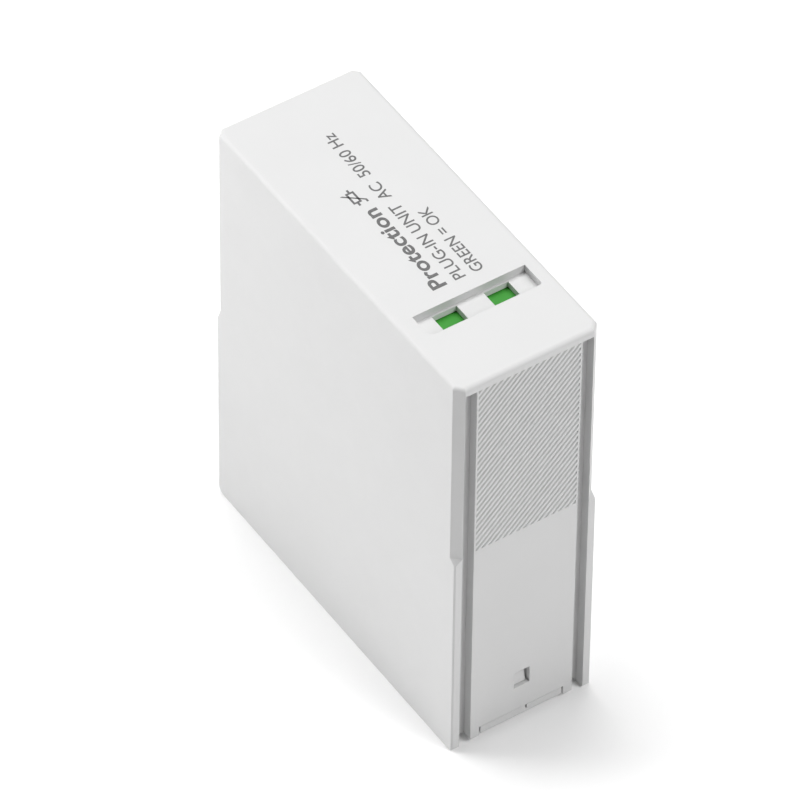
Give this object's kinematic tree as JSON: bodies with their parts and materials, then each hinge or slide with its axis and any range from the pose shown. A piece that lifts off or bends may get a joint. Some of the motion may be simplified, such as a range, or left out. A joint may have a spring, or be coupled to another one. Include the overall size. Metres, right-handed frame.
{
  "type": "plug-in surge arrester module",
  "caption": "Slim plug-in surge protection cartridge for a DIN rail base, with front status windows, ribbed finger grip, guide grooves and knife contacts.",
  "frame": {"origin": "centre of the bottom rim, on the plane that the module stands on", "axes": "+X across the width, +Z out of the front face with the status windows, +Y along the front face away from the windows"},
  "size_m": [0.0176, 0.045, 0.0539],
  "materials": {
    "hood_plastic": "fine matt",
    "carrier_plastic": "matt",
    "green_plastic": "satin",
    "red_plastic": "satin",
    "dark_plastic": "matt",
    "copper": "satin",
    "brass": "turned",
    "tinned_copper": "bright tin",
    "solder": "satin",
    "spring_steel": "bright",
    "varistor_coat": "epoxy coat",
    "insulator_film": "film",
    "print_ink": "printed ink"
  },
  "bodies": {
    "housing": {"hood": "hood_plastic", "base_plate": "hood_plastic", "carrier": "carrier_plastic", "red_indicator": "red_plastic", "line_bus": "copper", "neutral_bus": "copper", "blade_line": "tinned_copper", "blade_neutral": "tinned_copper", "coding_pin_a": "dark_plastic", "coding_pin_b": "dark_plastic", "slider_spring_a": "spring_steel", "arm_pin_a": "brass", "solder_joint_a": "solder", "inner_electrode_a": "tinned_copper", "varistor_a": "varistor_coat", "outer_electrode_a": "tinned_copper", "insulator_a": "insulator_film", "slider_spring_b": "spring_steel", "arm_pin_b": "brass", "solder_joint_b": "solder", "inner_electrode_b": "tinned_copper", "varistor_b": "varistor_coat", "outer_electrode_b": "tinned_copper", "insulator_b": "insulator_film"},
    "slider_a": {"slider_a": "green_plastic"},
    "slider_b": {"slider_b": "green_plastic"},
    "contact_arm_a": {"contact_arm_a": "copper"},
    "contact_arm_b": {"contact_arm_b": "copper"}
  },
  "joints": [
    {"name": "slider_a_trip", "type": "slide", "parent": "housing", "child": "slider_a", "axis": [0, 1, 0], "range_m": [0, 0.0042], "deforming": ["slider_spring_a"]},
    {"name": "slider_b_trip", "type": "slide", "parent": "housing", "child": "slider_b", "axis": [0, 1, 0], "range_m": [0, 0.0042], "deforming": ["slider_spring_b"]},
    {"name": "contact_arm_a_swing", "type": "hinge", "parent": "housing", "child": "contact_arm_a", "pos_m": [-0.0019, -0.013, 0.0483], "axis": [0, 0, 1], "range_deg": [0, 9.2]},
    {"name": "contact_arm_b_swing", "type": "hinge", "parent": "housing", "child": "contact_arm_b", "pos_m": [0.0019, -0.013, 0.0483], "axis": [0, 0, 1], "range_deg": [-9.2, 0]}
  ],
  "couplings": [
    {"joint": "contact_arm_a_swing", "follows": "slider_a_trip", "rad_per_m": 37.4},
    {"joint": "contact_arm_b_swing", "follows": "slider_b_trip", "rad_per_m": -37.4}
  ]
}
